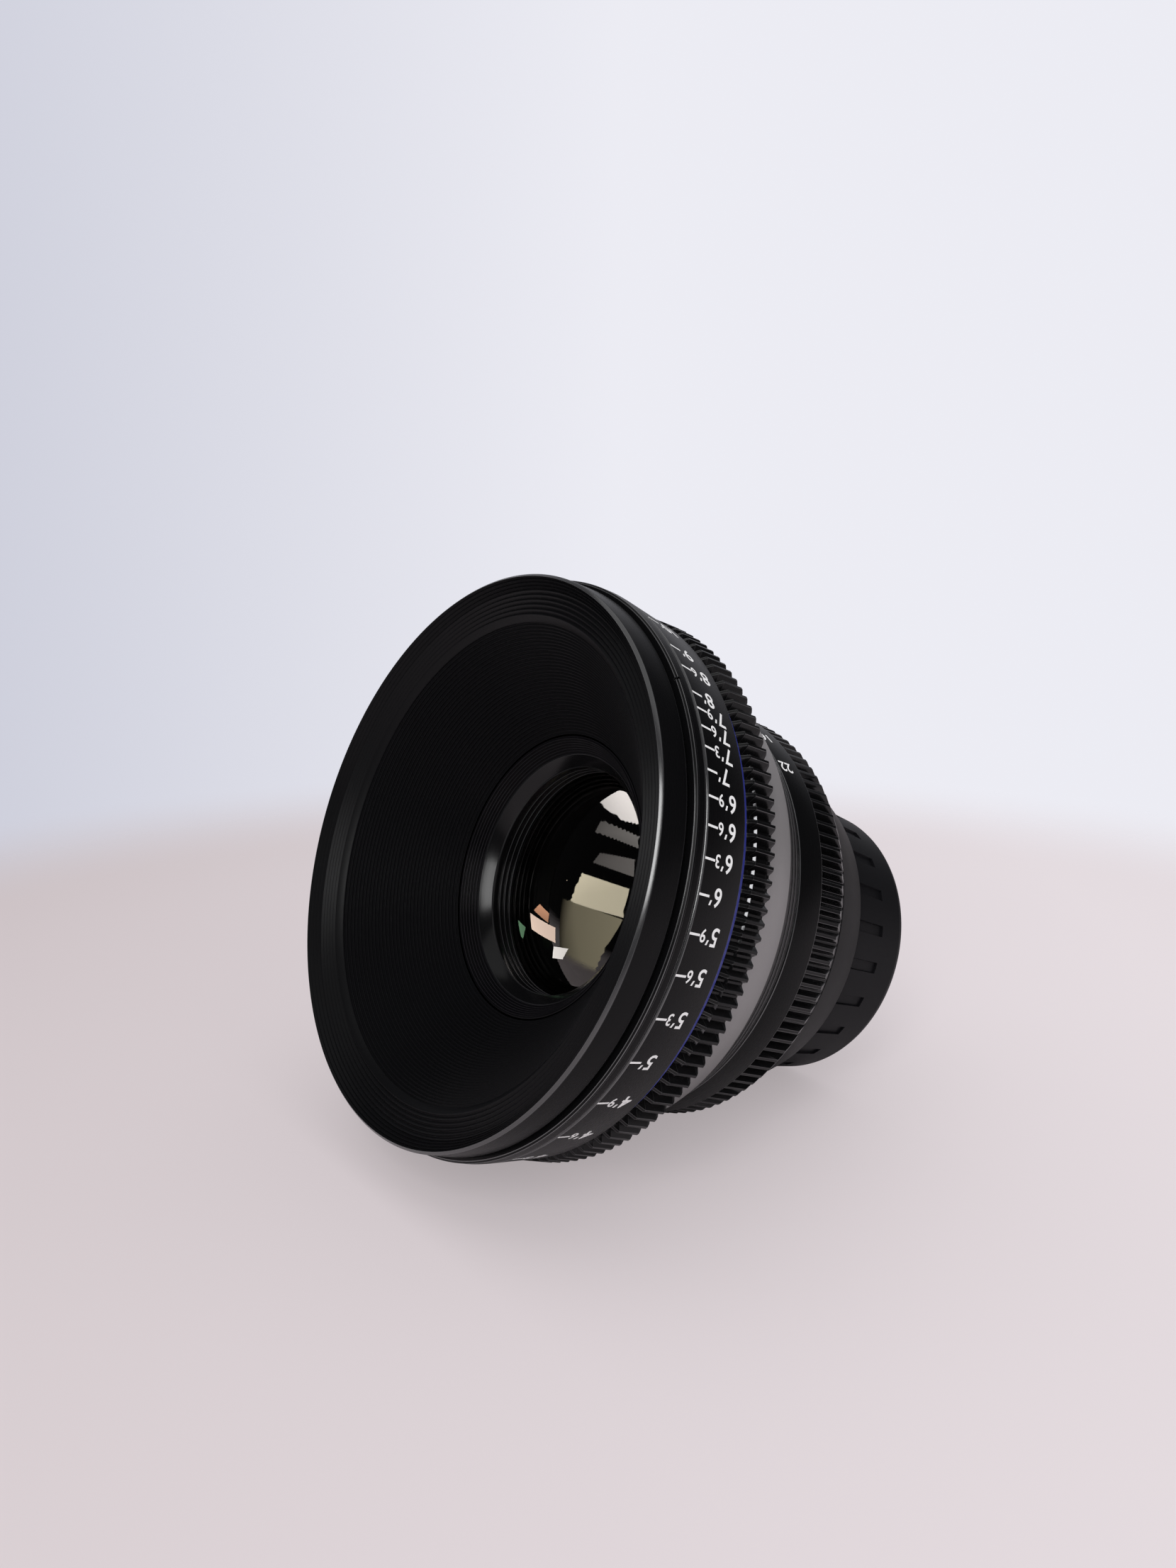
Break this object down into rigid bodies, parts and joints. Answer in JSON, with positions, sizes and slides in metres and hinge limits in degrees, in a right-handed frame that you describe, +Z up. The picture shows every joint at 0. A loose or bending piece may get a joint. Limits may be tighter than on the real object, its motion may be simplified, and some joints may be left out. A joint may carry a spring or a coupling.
{
  "type": "cinema prime lens",
  "caption": "Cinema prime lens lying on its side: geared focus and iris rings on a black barrel, deep ridged front funnel, camera mount under a push-on rear cap.",
  "frame": {"origin": "on the floor, under the middle of the part's bounding box", "axes": "+Z up from the floor; -Y is the way the front faces, with the optical axis tilted up towards the front as the lens rests; +X to the lens's side, by the right-hand rule"},
  "size_m": [0.116, 0.1244, 0.1163],
  "materials": {
    "anodised_black": "satin black anodised aluminium",
    "bare_aluminium": "machined aluminium, inside",
    "grey_anodised": "satin grey anodised aluminium",
    "steel": "stainless steel",
    "accent_blue": "blue enamel line",
    "glass": "coated optical glass",
    "cap_plastic": "moulded dark grey plastic",
    "blade_steel": "blackened spring steel"
  },
  "bodies": {
    "barrel": {"front_ring": "anodised_black", "stop_ring": "anodised_black", "front_cone": "anodised_black", "ridged_baffle": "anodised_black", "main_barrel": "bare_aluminium", "index_ring": "grey_anodised", "guard_ring": "anodised_black", "rear_barrel": "bare_aluminium", "barrel_screws": "steel", "rear_ring": "anodised_black", "mount_flange": "steel", "mount_screws": "steel"},
    "focus": {"focus_ring": "anodised_black", "focus_gear": "anodised_black", "accent_ring": "accent_blue"},
    "optics": {"focus_carrier": "bare_aluminium", "cam_followers": "steel", "optics_tube": "bare_aluminium", "trim_ring": "anodised_black", "front_retainer": "anodised_black", "lens_1": "glass", "lens_2": "glass", "lens_3": "glass", "stop_retainer": "anodised_black", "iris_plate": "bare_aluminium", "rear_cell": "bare_aluminium", "lens_4": "glass", "lens_5": "glass", "rear_spacer": "anodised_black", "lens_6": "glass", "rear_retainer": "anodised_black"},
    "iris": {"iris_ring": "anodised_black", "iris_gear": "anodised_black", "iris_pin": "steel"},
    "iris_drive": {"iris_sleeve": "bare_aluminium"},
    "rear_cap": {"rear_cap": "cap_plastic"},
    "iris_blade_01": {"iris_blade_01": "blade_steel"},
    "iris_blade_02": {"iris_blade_02": "blade_steel"},
    "iris_blade_03": {"iris_blade_03": "blade_steel"},
    "iris_blade_04": {"iris_blade_04": "blade_steel"},
    "iris_blade_05": {"iris_blade_05": "blade_steel"},
    "iris_blade_06": {"iris_blade_06": "blade_steel"},
    "iris_blade_07": {"iris_blade_07": "blade_steel"},
    "iris_blade_08": {"iris_blade_08": "blade_steel"},
    "iris_blade_09": {"iris_blade_09": "blade_steel"},
    "iris_blade_10": {"iris_blade_10": "blade_steel"},
    "iris_blade_11": {"iris_blade_11": "blade_steel"},
    "iris_blade_12": {"iris_blade_12": "blade_steel"},
    "iris_blade_13": {"iris_blade_13": "blade_steel"},
    "iris_blade_14": {"iris_blade_14": "blade_steel"}
  },
  "joints": [
    {"name": "focus_turn", "type": "hinge", "parent": "barrel", "child": "focus", "pos_m": [0, -0.04217, 0.06324], "axis": [0, -0.9346, 0.3557], "range_deg": [-99.51, 179.76]},
    {"name": "optics_slide", "type": "slide", "parent": "barrel", "child": "optics", "axis": [0, -0.9346, 0.3557], "range_m": [-0.00311, 0.00561]},
    {"name": "iris_turn", "type": "hinge", "parent": "barrel", "child": "iris", "pos_m": [0, -0.04217, 0.06324], "axis": [0, -0.9346, 0.3557], "range_deg": [0, 85]},
    {"name": "iris_drive_turn", "type": "hinge", "parent": "optics", "child": "iris_drive", "pos_m": [0, -0.04217, 0.06324], "axis": [0, -0.9346, 0.3557], "range_deg": [0, 85.01]},
    {"name": "cap_pull", "type": "slide", "parent": "barrel", "child": "rear_cap", "axis": [0, 0.9346, -0.3557], "range_m": [0, 0.024]},
    {"name": "iris_blade_01_swing", "type": "hinge", "parent": "optics", "child": "iris_blade_01", "pos_m": [0.0243, 0.00821, 0.04407], "axis": [0, 0.9346, -0.3557], "range_deg": [0, 37.01]},
    {"name": "iris_blade_02_swing", "type": "hinge", "parent": "optics", "child": "iris_blade_02", "pos_m": [0.02189, 0.00473, 0.03411], "axis": [0, 0.9346, -0.3557], "range_deg": [0, 37.01]},
    {"name": "iris_blade_03_swing", "type": "hinge", "parent": "optics", "child": "iris_blade_03", "pos_m": [0.01515, 0.00201, 0.0261], "axis": [0, 0.9346, -0.3557], "range_deg": [0, 37.01]},
    {"name": "iris_blade_04_swing", "type": "hinge", "parent": "optics", "child": "iris_blade_04", "pos_m": [0.00541, 0.00062, 0.02161], "axis": [0, 0.9346, -0.3557], "range_deg": [0, 37.01]},
    {"name": "iris_blade_05_swing", "type": "hinge", "parent": "optics", "child": "iris_blade_05", "pos_m": [-0.00541, 0.0009, 0.0215], "axis": [0, 0.9346, -0.3557], "range_deg": [0, 37.01]},
    {"name": "iris_blade_06_swing", "type": "hinge", "parent": "optics", "child": "iris_blade_06", "pos_m": [-0.01515, 0.00285, 0.02578], "axis": [0, 0.9346, -0.3557], "range_deg": [0, 37.01]},
    {"name": "iris_blade_07_swing", "type": "hinge", "parent": "optics", "child": "iris_blade_07", "pos_m": [-0.02189, 0.00614, 0.03357], "axis": [0, 0.9346, -0.3557], "range_deg": [0, 37.01]},
    {"name": "iris_blade_08_swing", "type": "hinge", "parent": "optics", "child": "iris_blade_08", "pos_m": [-0.0243, 0.01017, 0.04332], "axis": [0, 0.9346, -0.3557], "range_deg": [0, 37.01]},
    {"name": "iris_blade_09_swing", "type": "hinge", "parent": "optics", "child": "iris_blade_09", "pos_m": [-0.02189, 0.0142, 0.05307], "axis": [0, 0.9346, -0.3557], "range_deg": [0, 37.01]},
    {"name": "iris_blade_10_swing", "type": "hinge", "parent": "optics", "child": "iris_blade_10", "pos_m": [-0.01515, 0.01749, 0.06086], "axis": [0, 0.9346, -0.3557], "range_deg": [0, 37.01]},
    {"name": "iris_blade_11_swing", "type": "hinge", "parent": "optics", "child": "iris_blade_11", "pos_m": [-0.00541, 0.01944, 0.06514], "axis": [0, 0.9346, -0.3557], "range_deg": [0, 37.01]},
    {"name": "iris_blade_12_swing", "type": "hinge", "parent": "optics", "child": "iris_blade_12", "pos_m": [0.00541, 0.01972, 0.06504], "axis": [0, 0.9346, -0.3557], "range_deg": [0, 37.01]},
    {"name": "iris_blade_13_swing", "type": "hinge", "parent": "optics", "child": "iris_blade_13", "pos_m": [0.01515, 0.01833, 0.06054], "axis": [0, 0.9346, -0.3557], "range_deg": [0, 37.01]},
    {"name": "iris_blade_14_swing", "type": "hinge", "parent": "optics", "child": "iris_blade_14", "pos_m": [0.02189, 0.0156, 0.05253], "axis": [0, 0.9346, -0.3557], "range_deg": [0, 37.01]}
  ],
  "couplings": [
    {"joint": "optics_slide", "follows": "focus_turn", "m_per_rad": 0.0017849},
    {"joint": "iris_drive_turn", "follows": "iris_turn", "ratio": 1},
    {"joint": "iris_blade_01_swing", "follows": "iris_turn", "ratio": 0.43529},
    {"joint": "iris_blade_02_swing", "follows": "iris_turn", "ratio": 0.43529},
    {"joint": "iris_blade_03_swing", "follows": "iris_turn", "ratio": 0.43529},
    {"joint": "iris_blade_04_swing", "follows": "iris_turn", "ratio": 0.43529},
    {"joint": "iris_blade_05_swing", "follows": "iris_turn", "ratio": 0.43529},
    {"joint": "iris_blade_06_swing", "follows": "iris_turn", "ratio": 0.43529},
    {"joint": "iris_blade_07_swing", "follows": "iris_turn", "ratio": 0.43529},
    {"joint": "iris_blade_08_swing", "follows": "iris_turn", "ratio": 0.43529},
    {"joint": "iris_blade_09_swing", "follows": "iris_turn", "ratio": 0.43529},
    {"joint": "iris_blade_10_swing", "follows": "iris_turn", "ratio": 0.43529},
    {"joint": "iris_blade_11_swing", "follows": "iris_turn", "ratio": 0.43529},
    {"joint": "iris_blade_12_swing", "follows": "iris_turn", "ratio": 0.43529},
    {"joint": "iris_blade_13_swing", "follows": "iris_turn", "ratio": 0.43529},
    {"joint": "iris_blade_14_swing", "follows": "iris_turn", "ratio": 0.43529}
  ]
}
